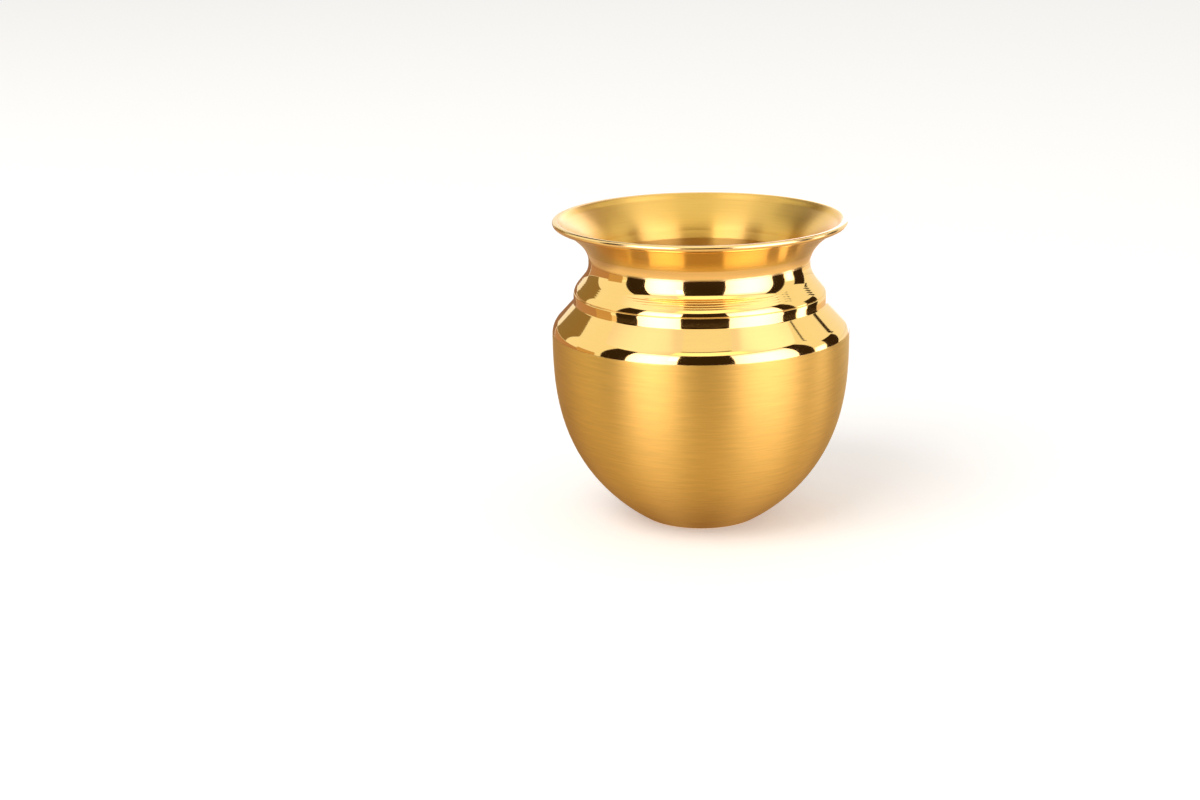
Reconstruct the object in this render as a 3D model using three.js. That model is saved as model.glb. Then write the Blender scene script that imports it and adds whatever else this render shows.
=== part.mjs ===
// A small spun brass lota: a round-bellied puja water pot with a stepped shoulder and a flared neck.
// Units are millimetres. +Z is up and the origin is the centre of the circle that the pot stands on.
// Three spun shells are lapped into each other and brazed: the bowl, the shoulder and the neck.

import * as THREE from "three";

// The sheet that all three shells are spun from
const SHEET = 0.65;

// Bowl: from the flat foot up to the widest part, and the start of the turn into the shoulder
const WIDEST_HEIGHT = 39.1;
const FOOT_RADIUS = 11.95;
const BELLY_FULLNESS = 2.73;
const BELLY_ROUNDNESS = 1.46;
const FOOT_EDGE_RISE = 0.5;
const FOOT_RING_WIDTH = 3.0;
const RECESS_SLOPE = 0.9;
const RECESS_DEPTH = 0.45;

// Shoulder: an upright collar and two polished steps, each a cone that rounds over. Angles are
// in degrees, between the metal's outward normal and the horizontal.
const COLLAR_HEIGHT = 0.65;
const COVE_RADIUS = 4.5;
const UPPER_CONE_ANGLE = 39.5;
const UPPER_CONE_SLANT = 2.085;
const UPPER_CORNER_RADIUS = 3.66;
const STEP_WALL_HEIGHT = 1.07;
const CREASE_RADIUS = 0.35;
const LOWER_CONE_ANGLE = 42.8;
const LOWER_CONE_SLANT = 4.76;
const LOWER_CORNER_RADIUS = 4.4;

// The fine turned line that runs round the upper step
const LINE_ANGLE = 14.5;
const LINE_WIDTH = 0.3;
const LINE_DEPTH = 0.09;

// Neck: a flare that opens as a parabola from the throat to the rolled lip
const THROAT_RADIUS = 22.78;
const NECK_RISE = 7.75;
const FLARE_OVERHANG = 6.93;
const LIP_THICKNESS = 1.32;

// Brazed laps: a spigot on the upper shell drops inside the lower one, with filler metal between
const BRAZE_FILM = 0.1;
const BELLY_LAP = 2.2;
const NECK_SPIGOT_REACH = 1.35;
const BELLY_SEAM_ANGLE = 8;
const NECK_JOGGLE_RISE = 1.1;

// How finely the round faces are divided, and how far the belly's facets crowd towards the foot
const SIDES_AROUND = 48;
const DEGREES_PER_FACET = 8;
const BELLY_FACETS = 11;
const BELLY_CROWDING = 0.35;
const FLARE_FACETS = 8;
const LIP_FACETS = 9;

const radians = THREE.MathUtils.degToRad;

// A station is a point on a shell's outer face. Its lean is the angle, in degrees, of the
// outward normal above the horizontal: 0 on an upright wall, 90 on a face that looks up.
function station(r, z, lean) {
  return { r, z, lean, outerOnly: false };
}

function normalAt(lean) {
  return new THREE.Vector2(Math.cos(radians(lean)), Math.sin(radians(lean)));
}

function outerPoint(at) {
  return new THREE.Vector2(at.r, at.z);
}

function innerPoint(at) {
  return outerPoint(at).addScaledVector(normalAt(at.lean), -SHEET);
}

function lastOf(list) {
  return list[list.length - 1];
}

// Carries a face on downwards along a true arc until its lean is the given one.
// A cove swings the normal up and has its centre outside the pot; a corner swings it down.
function bend(face, radius, toLean) {
  const start = lastOf(face);
  const side = toLean > start.lean ? 1 : -1;
  const centre = outerPoint(start).addScaledVector(normalAt(start.lean), side * radius);
  const steps = Math.max(1, Math.round(Math.abs(toLean - start.lean) / DEGREES_PER_FACET));
  for (let step = 1; step <= steps; step += 1) {
    const lean = start.lean + ((toLean - start.lean) * step) / steps;
    const point = centre.clone().addScaledVector(normalAt(lean), -side * radius);
    face.push(station(point.x, point.y, lean));
  }
}

// Carries a face on downwards in a straight line
function run(face, length) {
  const { r, z, lean } = lastOf(face);
  const along = new THREE.Vector2(Math.sin(radians(lean)), -Math.cos(radians(lean)));
  face.push(station(r + along.x * length, z + along.y * length, lean));
}

// Cuts a fine V-shaped line into a corner, on the outer face alone
function turnLine(face, radius, width, depth) {
  const start = lastOf(face);
  const halfTurn = THREE.MathUtils.radToDeg(width / 2 / radius);
  const centre = outerPoint(start).addScaledVector(normalAt(start.lean), -radius);
  const bottom = centre.clone().addScaledVector(normalAt(start.lean - halfTurn), radius - depth);
  face.push({ ...station(bottom.x, bottom.y, start.lean - halfTurn), outerOnly: true });
  const end = centre.clone().addScaledVector(normalAt(start.lean - 2 * halfTurn), radius);
  face.push(station(end.x, end.y, start.lean - 2 * halfTurn));
}

// The lean, measured on the inner face of a cove, at which it has dropped by the given height
function coveLeanAtDrop(drop) {
  return THREE.MathUtils.radToDeg(Math.asin(drop / (COVE_RADIUS + SHEET)));
}

// The shoulder's outer face, from just under the neck down to the belly seam, with the
// throat at height 0. It is moved up to its real height once the bowl's height is known.
const lineHalfTurn = THREE.MathUtils.radToDeg(LINE_WIDTH / 2 / UPPER_CORNER_RADIUS);
const collar = [station(THROAT_RADIUS, -BRAZE_FILM, 0)];
run(collar, COLLAR_HEIGHT - BRAZE_FILM);
bend(collar, COVE_RADIUS, coveLeanAtDrop(NECK_SPIGOT_REACH));
const collarLapStations = collar.length;
const shoulderFace = [...collar];
bend(shoulderFace, COVE_RADIUS, UPPER_CONE_ANGLE);
run(shoulderFace, UPPER_CONE_SLANT);
bend(shoulderFace, UPPER_CORNER_RADIUS, LINE_ANGLE + lineHalfTurn);
turnLine(shoulderFace, UPPER_CORNER_RADIUS, LINE_WIDTH, LINE_DEPTH);
bend(shoulderFace, UPPER_CORNER_RADIUS, 0);
run(shoulderFace, STEP_WALL_HEIGHT);
bend(shoulderFace, CREASE_RADIUS, LOWER_CONE_ANGLE);
run(shoulderFace, LOWER_CONE_SLANT);
bend(shoulderFace, LOWER_CORNER_RADIUS, (LOWER_CONE_ANGLE + BELLY_SEAM_ANGLE) / 2);
const stationsAboveJoggle = shoulderFace.length;
bend(shoulderFace, LOWER_CORNER_RADIUS, BELLY_SEAM_ANGLE);

// The bowl's lip goes on round the same corner, a braze film further down
const filmTurn = THREE.MathUtils.radToDeg(BRAZE_FILM / LOWER_CORNER_RADIUS);
const seam = lastOf(shoulderFace);
const lipFace = [seam];
bend(lipFace, LOWER_CORNER_RADIUS, BELLY_SEAM_ANGLE - filmTurn);
bend(lipFace, LOWER_CORNER_RADIUS, 0);
lipFace.shift();

// Heights that follow: the corner ends where the bowl is widest
const throatHeight = WIDEST_HEIGHT - lastOf(lipFace).z;
for (const at of [...shoulderFace, ...lipFace]) {
  at.z += throatHeight;
}
const bellyRadius = lastOf(lipFace).r;

// The belly's outer face below the widest part: a full, slightly pointed oval
const ovalHeight = WIDEST_HEIGHT
  / (1 - (FOOT_RADIUS / bellyRadius) ** BELLY_ROUNDNESS) ** (1 / BELLY_FULLNESS);

function bellyRadiusAt(z) {
  const share = Math.max(0, WIDEST_HEIGHT - z) / ovalHeight;
  return bellyRadius * (1 - share ** BELLY_FULLNESS) ** (1 / BELLY_ROUNDNESS);
}

function bellyStation(z) {
  const nudge = 0.01;
  const slope = (bellyRadiusAt(z + nudge) - bellyRadiusAt(z - nudge)) / (2 * nudge);
  return station(bellyRadiusAt(z), z, -THREE.MathUtils.radToDeg(Math.atan(slope)));
}

// Stations down the belly, closer together towards the foot, where it curves most
const lapFoot = bellyStation(WIDEST_HEIGHT - BELLY_LAP);
const bellyFace = [...lipFace, lapFoot];
const lapHeight = WIDEST_HEIGHT - BELLY_LAP;
for (let facet = 1; facet <= BELLY_FACETS; facet += 1) {
  const share = facet / BELLY_FACETS;
  const eased = share + BELLY_CROWDING * share * (1 - share);
  bellyFace.push(bellyStation(lapHeight + (FOOT_EDGE_RISE - lapHeight) * eased));
}

// The rounded edge of the foot meets the ground plane exactly
const edgeStart = lastOf(bellyFace);
const footEdgeRadius = FOOT_EDGE_RISE / (1 + Math.sin(radians(edgeStart.lean)));
bend(bellyFace, footEdgeRadius, -90);

// The shoulder's spigot is an easy fit inside the bowl's lip
const bowlLip = lipFace[0];
const spigotRadius = Math.min(innerPoint(bowlLip).x, innerPoint(lapFoot).x) - BRAZE_FILM;
const spigotTop = seam.z - (seam.r - spigotRadius) * Math.tan(radians(BELLY_SEAM_ANGLE));
const spigotFoot = innerPoint(lapFoot).y;

// The neck's spigot is an easy fit inside the shoulder's collar
const neckSpigotRadius = THROAT_RADIUS - SHEET - BRAZE_FILM;
const neckSpigotFoot = innerPoint(shoulderFace[collarLapStations - 1]).y;

// The neck's middle line opens as a parabola: its radius and its lean at a height above the throat
const throatMiddle = THROAT_RADIUS - SHEET / 2;

function neckStation(rise) {
  const slope = (2 * FLARE_OVERHANG * rise) / NECK_RISE ** 2;
  const lean = -THREE.MathUtils.radToDeg(Math.atan(slope));
  const middle = new THREE.Vector2(
    throatMiddle + FLARE_OVERHANG * (rise / NECK_RISE) ** 2,
    throatHeight + rise,
  );
  const outer = middle.addScaledVector(normalAt(lean), SHEET / 2);
  return station(outer.x, outer.y, lean);
}

// Turns a closed outline round the Z axis
function spun(name, outline, material) {
  const closed = outline[0].x > 0 ? [...outline, outline[0].clone()] : outline;
  const geometry = new THREE.LatheGeometry(closed, SIDES_AROUND);
  geometry.rotateX(Math.PI / 2);
  const mesh = new THREE.Mesh(geometry, material);
  mesh.name = name;
  return mesh;
}

// Bowl: one spun disc, with a shallow recess under the foot so that it stands on a flat ring
function bellyBowl() {
  const footRing = lastOf(bellyFace).r;
  const recessRim = footRing - FOOT_RING_WIDTH;
  const underside = [
    new THREE.Vector2(0, RECESS_DEPTH),
    new THREE.Vector2(recessRim - RECESS_SLOPE, RECESS_DEPTH),
    new THREE.Vector2(recessRim, 0),
  ];
  const floor = [
    new THREE.Vector2(recessRim, SHEET),
    new THREE.Vector2(recessRim - RECESS_SLOPE, RECESS_DEPTH + SHEET),
    new THREE.Vector2(0, RECESS_DEPTH + SHEET),
  ];
  const outside = bellyFace.map(outerPoint).reverse();
  const inside = bellyFace.map(innerPoint);
  return spun("belly_bowl", [...underside, ...outside, ...inside, ...floor], satinBrass());
}

// Shoulder: outer face upwards, collar edge, inner face down to the joggle, then the spigot
function shoulder() {
  const outside = shoulderFace.map(outerPoint).reverse();
  const inside = shoulderFace
    .slice(0, stationsAboveJoggle)
    .filter((at) => !at.outerOnly)
    .map(innerPoint);
  const spigot = [
    new THREE.Vector2(spigotRadius - SHEET, spigotTop),
    new THREE.Vector2(spigotRadius - SHEET, spigotFoot),
    new THREE.Vector2(spigotRadius, spigotFoot),
    new THREE.Vector2(spigotRadius, spigotTop),
  ];
  return spun("shoulder", [...outside, ...inside, ...spigot], polishedBrass());
}

// Filler metal in the belly seam, as it lies between the ledge, the spigot and the bowl's lip
function bellySeamBraze() {
  const bowlSide = [...lipFace, lapFoot].map(innerPoint).reverse();
  const outline = [
    new THREE.Vector2(spigotRadius, spigotFoot),
    ...bowlSide,
    outerPoint(bowlLip),
    outerPoint(seam),
    new THREE.Vector2(spigotRadius, spigotTop),
  ];
  return spun("belly_seam_braze", outline, brazeMetal());
}

// Neck: the flare, the rolled lip and the spigot that drops into the shoulder's collar
function flaredNeck() {
  const lipRadius = LIP_THICKNESS / 2;
  const lipAngle = Math.PI - Math.asin(SHEET / 2 / lipRadius);
  const setBack = Math.sqrt(lipRadius ** 2 - (SHEET / 2) ** 2);
  const lipStation = neckStation(NECK_RISE);
  const outwards = normalAt(lipStation.lean);
  const forwards = new THREE.Vector2(-outwards.y, outwards.x);
  const lipCentre = outerPoint(lipStation).addScaledVector(outwards, -SHEET / 2);
  const flareEnd = NECK_RISE - setBack * forwards.y;
  const flare = [];
  for (let facet = 0; facet < FLARE_FACETS; facet += 1) {
    flare.push(neckStation((flareEnd * facet) / FLARE_FACETS));
  }
  const lip = [];
  for (let facet = 0; facet <= LIP_FACETS; facet += 1) {
    const angle = lipAngle * (1 - (2 * facet) / LIP_FACETS);
    const point = lipCentre.clone();
    point.addScaledVector(forwards, Math.cos(angle) * lipRadius);
    point.addScaledVector(outwards, Math.sin(angle) * lipRadius);
    lip.push(point);
  }
  const inside = flare
    .filter((at) => at.z > throatHeight + NECK_JOGGLE_RISE)
    .map(innerPoint)
    .reverse();
  const spigot = [
    new THREE.Vector2(neckSpigotRadius - SHEET, throatHeight),
    new THREE.Vector2(neckSpigotRadius - SHEET, neckSpigotFoot),
    new THREE.Vector2(neckSpigotRadius, neckSpigotFoot),
    new THREE.Vector2(neckSpigotRadius, throatHeight),
  ];
  return spun("flared_neck", [...flare.map(outerPoint), ...lip, ...inside, ...spigot], satinBrass());
}

// Filler metal in the neck seam
function neckSeamBraze() {
  const collarSide = shoulderFace.slice(0, collarLapStations).map(innerPoint).reverse();
  const outline = [
    new THREE.Vector2(neckSpigotRadius, neckSpigotFoot),
    ...collarSide,
    outerPoint(shoulderFace[0]),
    new THREE.Vector2(THROAT_RADIUS, throatHeight),
    new THREE.Vector2(neckSpigotRadius, throatHeight),
  ];
  return spun("neck_seam_braze", outline, brazeMetal());
}

function satinBrass() {
  return new THREE.MeshStandardMaterial({ color: 0xdba743, roughness: 0.34, metalness: 1 });
}

function polishedBrass() {
  return new THREE.MeshStandardMaterial({ color: 0xeec065, roughness: 0.06, metalness: 1 });
}

function brazeMetal() {
  return new THREE.MeshStandardMaterial({ color: 0xd8ab55, roughness: 0.3, metalness: 1 });
}

const lota = new THREE.Group();
lota.add(bellyBowl(), bellySeamBraze(), shoulder(), neckSeamBraze(), flaredNeck());

export default lota;
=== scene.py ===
"""A small spun brass lota, turned and polished, standing in a plain studio.

The pot is three spun shells whose laps are brazed. Each shell is drawn as an outline in the plane of the
pot's axis and then turned round that axis by Geometry Nodes. Lengths are in metres and angles in radians,
+Z is up, and the origin is the centre of the circle that the pot stands on.
"""

import math
from collections import namedtuple

import bmesh
import bpy
from bpy.props import FloatProperty, FloatVectorProperty, IntProperty, PointerProperty
from bpy.types import Operator, Panel, PropertyGroup
from mathutils import Matrix, Vector
from mathutils.geometry import interpolate_bezier


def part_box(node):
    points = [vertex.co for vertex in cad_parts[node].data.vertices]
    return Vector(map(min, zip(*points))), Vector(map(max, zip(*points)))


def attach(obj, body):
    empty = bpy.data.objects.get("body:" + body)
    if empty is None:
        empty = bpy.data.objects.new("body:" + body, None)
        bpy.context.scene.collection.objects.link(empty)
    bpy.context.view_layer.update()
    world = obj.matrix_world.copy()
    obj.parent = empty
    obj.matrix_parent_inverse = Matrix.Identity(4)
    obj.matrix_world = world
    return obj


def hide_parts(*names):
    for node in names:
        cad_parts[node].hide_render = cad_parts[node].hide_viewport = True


bl_info = {
    "name": "Spun brass lota",
    "version": (1, 0, 0),
    "blender": (4, 5, 0),
    "location": "View3D > Sidebar > Lota",
    "description": "Builds a small spun brass water pot and a studio to show it in",
    "category": "Add Mesh",
}

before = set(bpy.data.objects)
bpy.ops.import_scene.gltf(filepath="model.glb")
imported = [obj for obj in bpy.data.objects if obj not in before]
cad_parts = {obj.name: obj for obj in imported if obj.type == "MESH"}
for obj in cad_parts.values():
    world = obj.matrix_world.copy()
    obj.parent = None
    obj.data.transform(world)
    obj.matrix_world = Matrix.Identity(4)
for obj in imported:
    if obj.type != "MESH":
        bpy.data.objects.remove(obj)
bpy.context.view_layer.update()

MM = 0.001
BODY = "root"

# Where the frame says that the shells lie
THROAT_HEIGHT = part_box("neck_seam_braze")[1].z
THROAT_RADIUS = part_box("neck_seam_braze")[1].x


def linear(hex_colour):
    """Turns an sRGB colour such as #E8B45A into the linear RGBA that shaders take."""
    channels = [int(hex_colour[i:i + 2], 16) / 255 for i in (1, 3, 5)]
    curve = [c / 12.92 if c <= 0.04045 else ((c + 0.055) / 1.055) ** 2.4 for c in channels]
    return (*curve, 1.0)


def size_of(name, description, millimetres):
    """A length property, with its default given in millimetres."""
    return FloatProperty(
        name=name, description=description, default=millimetres * MM, unit="LENGTH", precision=5,
    )


def angle_of(name, description, degrees):
    """An angle property, with its default given in degrees."""
    return FloatProperty(name=name, description=description, default=math.radians(degrees), subtype="ANGLE")


def share_of(name, description, default):
    """A plain number from 0 to 1."""
    return FloatProperty(name=name, description=description, default=default, min=0, max=1)


def number_of(name, description, default, kind=FloatProperty):
    """A plain number that isn't below 0."""
    return kind(name=name, description=description, default=default, min=0)


def colour_of(name, description, hex_colour):
    """A colour property, with its default given as an sRGB hex value."""
    return FloatVectorProperty(
        name=name, description=description, default=linear(hex_colour), subtype="COLOR", size=4, min=0, max=1,
    )


class LotaSheetSizes(PropertyGroup):
    """The sheet that the shells are spun from, and the laps where they are brazed."""

    thickness: size_of("Sheet", "Thickness of the brass sheet", 0.65)
    braze_film: size_of("Braze film", "Thickness of the filler metal in a seam", 0.1)
    belly_lap: size_of("Belly lap", "How far the shoulder's spigot drops below the widest part", 2.2)
    neck_reach: size_of("Neck spigot", "How far the neck's spigot drops below the throat", 1.35)
    neck_joggle: size_of("Neck joggle", "Height above the throat where the neck's spigot begins", 1.1)


class LotaBowlSizes(PropertyGroup):
    """The satin bowl, from its flat foot up to the belly seam."""

    foot_radius: size_of("Foot radius", "Radius that the belly's oval would have at the ground", 11.95)
    fullness: number_of("Fullness", "How long the belly stays wide on its way down", 2.73)
    roundness: number_of("Roundness", "How bluntly the belly turns in to the foot", 1.46)
    foot_edge_rise: size_of("Foot edge", "Height of the rounded edge of the foot", 0.5)
    foot_ring_width: size_of("Foot ring", "Width of the flat ring that the pot stands on", 3.0)
    recess_slope: size_of("Recess slope", "Width of the slope into the recess under the foot", 0.9)
    recess_depth: size_of("Recess depth", "Depth of the recess under the foot", 0.45)


class LotaShoulderSizes(PropertyGroup):
    """The mirror-polished shoulder: a collar, a cove and two steps that round over."""

    collar_height: size_of("Collar", "Height of the upright collar under the throat", 0.65)
    cove_radius: size_of("Cove", "Radius of the hollow under the collar", 4.5)
    upper_cone_angle: angle_of("Upper cone angle", "Lean of the upper cone's normal above the level", 39.5)
    upper_cone_slant: size_of("Upper cone slant", "Length of the upper cone along its slope", 2.085)
    upper_corner: size_of("Upper corner", "Radius of the upper step's corner", 3.66)
    line_angle: angle_of("Line place", "Lean of the corner where the fine turned line is cut", 14.5)
    line_width: size_of("Line width", "Width of the fine turned line", 0.3)
    line_depth: size_of("Line depth", "Depth of the fine turned line", 0.09)
    scored_lines: number_of("Scored lines", "Finer lines round the upper cone", 4, IntProperty)
    scored_depth: size_of("Scored depth", "Depth of the finer lines", 0.007)
    step_wall: size_of("Step wall", "Height of the short upright wall", 1.07)
    crease: size_of("Crease", "Radius of the crease under the wall", 0.35)
    lower_cone_angle: angle_of("Lower cone angle", "Lean of the lower cone's normal above the level", 42.8)
    lower_cone_slant: size_of("Lower cone slant", "Length of the lower cone along its slope", 4.76)
    lower_corner: size_of("Lower corner", "Radius of the corner that turns into the belly", 4.4)
    seam_angle: angle_of("Seam place", "Lean of the corner where the shoulder ends and the bowl begins", 8)


class LotaNeckSizes(PropertyGroup):
    """The flared neck and its rolled lip."""

    rise: size_of("Rise", "Height of the lip's centre above the throat", 7.75)
    overhang: size_of("Overhang", "How far the sheet's middle line opens from throat to lip", 6.93)
    lip_thickness: size_of("Lip thickness", "Thickness of the rolled lip", 1.32)
    lip_reach: size_of("Lip reach", "Half the rolled lip's width along the sheet, which flattens it", 0.95)
    throat_polish: size_of("Throat polish", "Height of the polished band above the throat", 2.0)
    lip_polish: size_of("Lip polish", "Height of the polished band under the lip", 0.35)
    lip_ease_inside: size_of("Lip ease inside", "Reach of the smooth turn from the flare onto the lip", 0.75)
    lip_ease_outside: size_of("Lip ease outside", "Reach of the tight turn behind the lip", 0.22)


class LotaLatheSettings(PropertyGroup):
    """How finely the shells are turned, and how true they run."""

    sides: IntProperty(name="Sides", description="Flats round the axis", default=256, min=12, max=512)
    arc_step: angle_of("Arc step", "Largest turn between two rings on a round stretch", 2.0)
    ring_step: size_of("Ring step", "Largest distance between two rings on a straight stretch", 0.22)
    belly_step: size_of("Belly step", "Mean distance between two rings of the belly, before they crowd", 0.4)
    weld: size_of("Weld", "Points closer than this are joined", 0.002)
    waver: size_of("Waver", "Height of the slow waves that spinning leaves in the sheet", 0.006)
    waver_length: size_of("Waver length", "Distance from one slow wave to the next", 9.0)
    seed: number_of("Seed", "Seed of the slow waves", 7, IntProperty)


class LotaFinishes(PropertyGroup):
    """Colours and polish of the metal."""

    satin_colour: colour_of("Satin brass", "Colour of the turned brass of the belly", "#EFC663")
    flare_colour: colour_of("Flare brass", "Colour of the turned brass inside the flare", "#F8CB66")
    mirror_colour: colour_of("Mirror brass", "Colour of the mirror buffed brass of the shoulder", "#FFD57E")
    under_colour: colour_of("Underside", "Colour of the half buffed brass under the flare", "#F2CE6E")
    lip_colour: colour_of("Lip", "Colour of the softly buffed brass of the lip", "#FFDA8C")
    inside_colour: colour_of("Inside", "Colour of the brass inside the pot", "#E9B95C")
    braze_colour: colour_of("Braze", "Colour of the filler metal in the seams", "#EBC274")
    satin_roughness: share_of("Satin roughness", "Roughness of the turned brass", 0.51)
    flare_roughness: share_of("Flare roughness", "Roughness of the brass inside the flare", 0.35)
    under_roughness: share_of("Underside roughness", "Roughness of the half buffed brass", 0.25)
    mirror_roughness: share_of("Mirror roughness", "Roughness of the buffed brass", 0.06)
    lip_roughness: share_of("Lip roughness", "Roughness of the softly buffed brass of the lip", 0.19)
    inside_roughness: share_of("Inside roughness", "Roughness of the brass inside the pot", 0.36)
    braze_roughness: share_of("Braze roughness", "Roughness of the filler metal in the seams", 0.2)


class LotaStudio(PropertyGroup):
    """Floor, room, cards and camera."""

    floor_radius: size_of("Floor radius", "Radius of the round floor", 2500)
    floor_colour: colour_of("Floor colour", "Pale, slightly warm floor", "#F3F0EC")
    card_distance: size_of("Card distance", "Distance from the pot's axis to the softboxes and flags", 200)
    card_height: size_of("Card height", "Height of the softboxes and flags", 210)
    softbox_colour: colour_of("Softbox colour", "Cool daylight white of the softboxes", "#E7DFFF")
    softbox_strength: number_of("Softbox strength", "Brightness of the left softbox", 4.7)
    right_share: share_of("Right softbox", "Brightness of the right softbox against the left one", 0.96)
    floor_lift: share_of("Floor lift", "How much brighter the floor is drawn than its light makes it", 0.3)
    room_light: share_of("Room light", "Strength of the white room as light", 0.62)
    board_radius: size_of("Board radius", "Radius of the warm board that the metal sees under the pot", 330)
    # The board's colour beside the pot, its reach and its front lift set painted shade: the board is darker
    # near the pot, for the pot's shadow on the floor as the metal mirrors it.
    board_shade: colour_of("Board near", "Colour of the warm board beside the pot", "#80594A")
    board_far: colour_of("Board far", "Colour of the warm board at its edge", "#F9DCBC")
    board_shade_reach: size_of("Dark reach", "How far out the warm board is darker", 110)
    board_front_lift: share_of("Board front", "How much paler the dark part is before the pot", 0.65)
    camera_distance: size_of("Camera distance", "From the lens to the plane of the lip's centre", 405.6)
    camera_right: size_of("Camera right", "How far right of the picture's centre the pot stands", 20.93)
    camera_up: size_of("Camera up", "How far above the picture's centre the lip's centre is", 36.11)
    camera_pitch: angle_of("Camera pitch", "How far the camera looks down", 15.79)
    camera_roll: angle_of("Camera roll", "How far the camera leans clockwise", 1.06)
    focal_length: number_of("Lens", "Focal length in millimetres, on a 36 mm sensor", 60)


class LotaSettings(PropertyGroup):
    """Everything that a user may change."""

    sheet: PointerProperty(type=LotaSheetSizes)
    bowl: PointerProperty(type=LotaBowlSizes)
    shoulder: PointerProperty(type=LotaShoulderSizes)
    neck: PointerProperty(type=LotaNeckSizes)
    lathe: PointerProperty(type=LotaLatheSettings)
    finish: PointerProperty(type=LotaFinishes)
    studio: PointerProperty(type=LotaStudio)


# A station is a point on a shell's outer face. Its lean is the angle of the outward normal above the
# horizontal: 0 on an upright wall, a quarter turn on a face that looks up.
Station = namedtuple("Station", "r z lean outer_only", defaults=[False])


def normal_at(lean):
    """The outward normal in the plane of the axis."""
    return Vector((math.cos(lean), math.sin(lean)))


def outer_point(at):
    """The station's point on the outer face."""
    return Vector((at.r, at.z))


def inner_point(at, sheet):
    """The point on the inner face, one sheet's thickness behind the station."""
    return outer_point(at) - normal_at(at.lean) * sheet.thickness


def bend(face, radius, to_lean, lathe):
    """Carries a face on downwards along a true arc until its lean is the given one."""
    start = face[-1]
    side = 1 if to_lean > start.lean else -1
    centre = outer_point(start) + normal_at(start.lean) * side * radius
    turn = to_lean - start.lean
    steps = max(1, math.ceil(abs(turn) / lathe.arc_step))
    for step in range(1, steps + 1):
        lean = start.lean + turn * step / steps
        point = centre - normal_at(lean) * side * radius
        face.append(Station(point.x, point.y, lean))


def run(face, length, lathe, lines=0, depth=0.0):
    """Carries a face on downwards in a straight line, with or without fine lines cut into its outer side."""
    start = face[-1]
    along = Vector((math.sin(start.lean), -math.cos(start.lean)))
    steps_each, narrowness = 12, 3
    steps = steps_each * lines or max(1, math.ceil(length / lathe.ring_step))
    for step in range(1, steps + 1):
        sunk = depth * ((1 - math.cos(2 * math.pi * step / steps_each)) / 2) ** narrowness
        point = outer_point(start) + along * length * step / steps - normal_at(start.lean) * sunk
        face.append(Station(point.x, point.y, start.lean, lines > 0 and step % steps_each > 0))


def turn_line(face, radius, width, depth):
    """Cuts a fine line with a rounded bottom into a corner, on the outer face alone."""
    start = face[-1]
    centre = outer_point(start) - normal_at(start.lean) * radius
    turn = width / radius
    steps = 12
    for step in range(1, steps + 1):
        lean = start.lean - turn * step / steps
        sunk = depth * (1 - math.cos(2 * math.pi * step / steps)) / 2
        point = centre + normal_at(lean) * (radius - sunk)
        face.append(Station(point.x, point.y, lean, step < steps))


def cove_lean_at_drop(drop, settings):
    """The lean at which the cove's inner face has dropped by the given height."""
    return math.asin(drop / (settings.shoulder.cove_radius + settings.sheet.thickness))


def collar_face(settings):
    """The shoulder's outer face beside the neck's spigot."""
    sizes, sheet, lathe = settings.shoulder, settings.sheet, settings.lathe
    face = [Station(THROAT_RADIUS, THROAT_HEIGHT - sheet.braze_film, 0)]
    run(face, sizes.collar_height - sheet.braze_film, lathe)
    bend(face, sizes.cove_radius, cove_lean_at_drop(sheet.neck_reach, settings), lathe)
    return face


def shoulder_face(settings):
    """The shoulder's outer face from throat to belly seam, and how much of it lies above the joggle."""
    sizes, lathe = settings.shoulder, settings.lathe
    face = collar_face(settings)
    bend(face, sizes.cove_radius, sizes.upper_cone_angle, lathe)
    run(face, sizes.upper_cone_slant, lathe, sizes.scored_lines, sizes.scored_depth)
    half_line = sizes.line_width / 2 / sizes.upper_corner
    bend(face, sizes.upper_corner, sizes.line_angle + half_line, lathe)
    turn_line(face, sizes.upper_corner, sizes.line_width, sizes.line_depth)
    bend(face, sizes.upper_corner, 0, lathe)
    run(face, sizes.step_wall, lathe)
    bend(face, sizes.crease, sizes.lower_cone_angle, lathe)
    run(face, sizes.lower_cone_slant, lathe)
    bend(face, sizes.lower_corner, (sizes.lower_cone_angle + sizes.seam_angle) / 2, lathe)
    above_joggle = len(face)
    bend(face, sizes.lower_corner, sizes.seam_angle, lathe)
    return face, above_joggle


def lip_face(settings):
    """The bowl's outer face from the belly seam down to the widest part."""
    sizes, lathe = settings.shoulder, settings.lathe
    seam = shoulder_face(settings)[0][-1]
    film_turn = settings.sheet.braze_film / sizes.lower_corner
    face = [seam]
    bend(face, sizes.lower_corner, sizes.seam_angle - film_turn, lathe)
    bend(face, sizes.lower_corner, 0, lathe)
    return face[1:]


def belly_face(settings):
    """The bowl's outer face: the lip, a full oval belly and the rounded edge of the foot."""
    sizes, lathe = settings.bowl, settings.lathe
    face = lip_face(settings)
    widest = face[-1]
    foot_share = 1 - (sizes.foot_radius / widest.r) ** sizes.roundness
    oval_height = widest.z / foot_share ** (1 / sizes.fullness)

    def radius_at(z):
        share = max(0, widest.z - z) / oval_height
        return widest.r * (1 - share ** sizes.fullness) ** (1 / sizes.roundness)

    def belly_station(z):
        nudge = 0.01 * MM
        slope = (radius_at(z + nudge) - radius_at(z - nudge)) / (2 * nudge)
        return Station(radius_at(z), z, -math.atan(slope))

    lap_foot = belly_station(widest.z - settings.sheet.belly_lap)
    steps = math.ceil(widest.z / lathe.belly_step)
    crowding = 0.35
    face.append(lap_foot)
    for step in range(1, steps + 1):
        share = step / steps
        eased = share + crowding * share * (1 - share)
        face.append(belly_station(lap_foot.z + (sizes.foot_edge_rise - lap_foot.z) * eased))
    edge_radius = sizes.foot_edge_rise / (1 + math.sin(face[-1].lean))
    bend(face, edge_radius, -math.pi / 2, lathe)
    return face, lap_foot


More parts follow.
